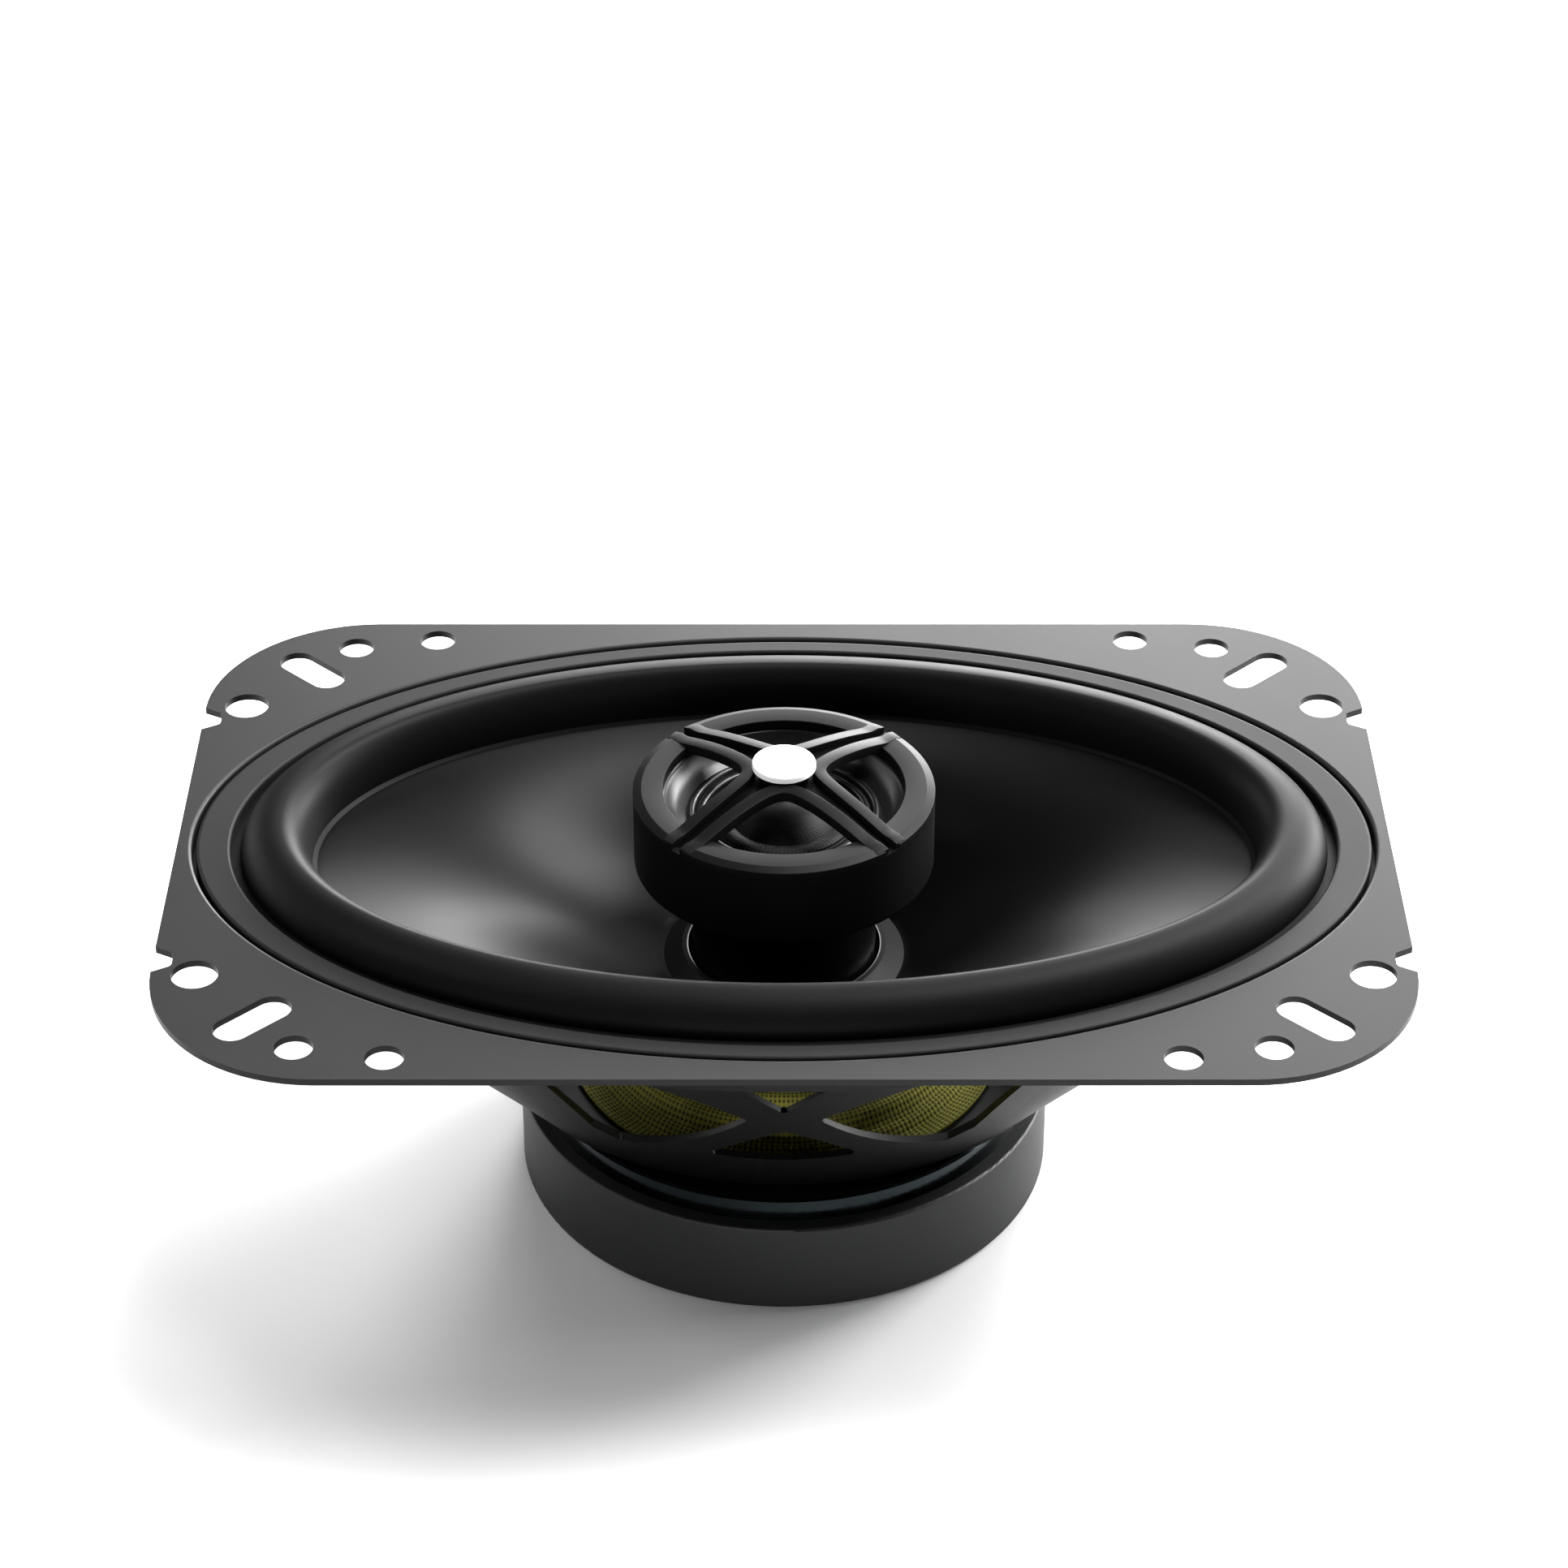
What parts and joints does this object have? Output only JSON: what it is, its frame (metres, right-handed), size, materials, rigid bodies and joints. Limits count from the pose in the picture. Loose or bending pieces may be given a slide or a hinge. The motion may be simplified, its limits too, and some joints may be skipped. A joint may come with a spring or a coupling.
{
  "type": "coaxial car speaker",
  "caption": "Oval coaxial car speaker: steel basket with a slotted rectangular flange, rubber surround, black cone, post-mounted dome tweeter under a crossed grille, booted magnet.",
  "frame": {"origin": "centre of the four main mounting holes, on the rear face of the flange", "axes": "+Z out of the speaker's front towards the listener, square to the flange; +X along the oval's long axis; the terminals are on the +Y side"},
  "size_m": [0.155, 0.1036, 0.0609],
  "materials": {
    "painted_steel": "satin dark grey paint on pressed steel",
    "ring_plastic": "satin moulded ring",
    "surround_rubber": "smooth satin butyl rubber",
    "cone_plastic": "smooth injection moulded polypropylene",
    "spider_cloth": "open woven yellow treated cloth",
    "zinc_steel": "dark zinc plated steel",
    "ferrite": "dull grey ceramic",
    "boot_rubber": "matte moulded rubber",
    "post_plastic": "satin moulded plastic",
    "cup_plastic": "satin black moulded plastic",
    "grille_plastic": "gunmetal coloured moulded plastic",
    "inlay_plastic": "matte black moulded plastic",
    "waveguide_plastic": "glossy black moulded plastic",
    "badge_white": "plain white disc",
    "dome_cloth": "fine woven dark dome cloth",
    "former_aluminium": "thin foil",
    "coil_wire": "enamelled copper wire",
    "neo_nickel": "nickel plated",
    "terminal_tin": "tin plated brass",
    "terminal_fibre": "black fibre board",
    "rivet_steel": "plated steel",
    "tinsel_copper": "braided tinsel wire",
    "wire_insulation": "smooth insulation",
    "capacitor_sleeve": "shrunk plastic sleeve"
  },
  "bodies": {
    "frame": {"basket": "painted_steel", "gasket_ring": "ring_plastic", "surround": "surround_rubber", "spider": "spider_cloth", "top_plate": "zinc_steel", "plate_stakes": "zinc_steel", "ferrite_magnet": "ferrite", "yoke": "zinc_steel", "magnet_boot": "boot_rubber", "tweeter_post": "post_plastic", "post_nut": "rivet_steel", "crossover_capacitor": "capacitor_sleeve", "tweeter_cable": "wire_insulation", "tweeter_positive_tail": "wire_insulation", "tweeter_negative_tail": "wire_insulation", "tweeter_cup": "cup_plastic", "tweeter_grille": "grille_plastic", "grille_inlay": "inlay_plastic", "badge_disc": "badge_white", "waveguide": "waveguide_plastic", "tweeter_pot": "neo_nickel", "tweeter_magnet": "neo_nickel", "tweeter_top_plate": "neo_nickel", "diaphragm_ring": "cup_plastic", "tweeter_surround": "dome_cloth", "terminal_board": "terminal_fibre", "terminal_rivet": "rivet_steel", "positive_terminal": "terminal_tin", "negative_terminal": "terminal_tin", "positive_tinsel_lead": "tinsel_copper", "negative_tinsel_lead": "tinsel_copper"},
    "cone_assembly": {"cone": "cone_plastic", "neck_ring": "post_plastic", "voice_coil_former": "former_aluminium", "voice_coil": "coil_wire", "lead_eyelets": "rivet_steel"},
    "tweeter_diaphragm": {"tweeter_dome": "dome_cloth", "tweeter_voice_coil": "coil_wire"}
  },
  "joints": [
    {"name": "cone_excursion", "type": "slide", "parent": "frame", "child": "cone_assembly", "axis": [0, 0, 1], "range_m": [-0.0035, 0.0035], "stiffness_N_per_m": 2000, "deforming": ["surround", "spider", "positive_tinsel_lead", "negative_tinsel_lead"]},
    {"name": "tweeter_excursion", "type": "slide", "parent": "frame", "child": "tweeter_diaphragm", "axis": [0, 0, 1], "range_m": [-0.00035, 0.00035], "stiffness_N_per_m": 40, "deforming": ["tweeter_surround"]}
  ]
}
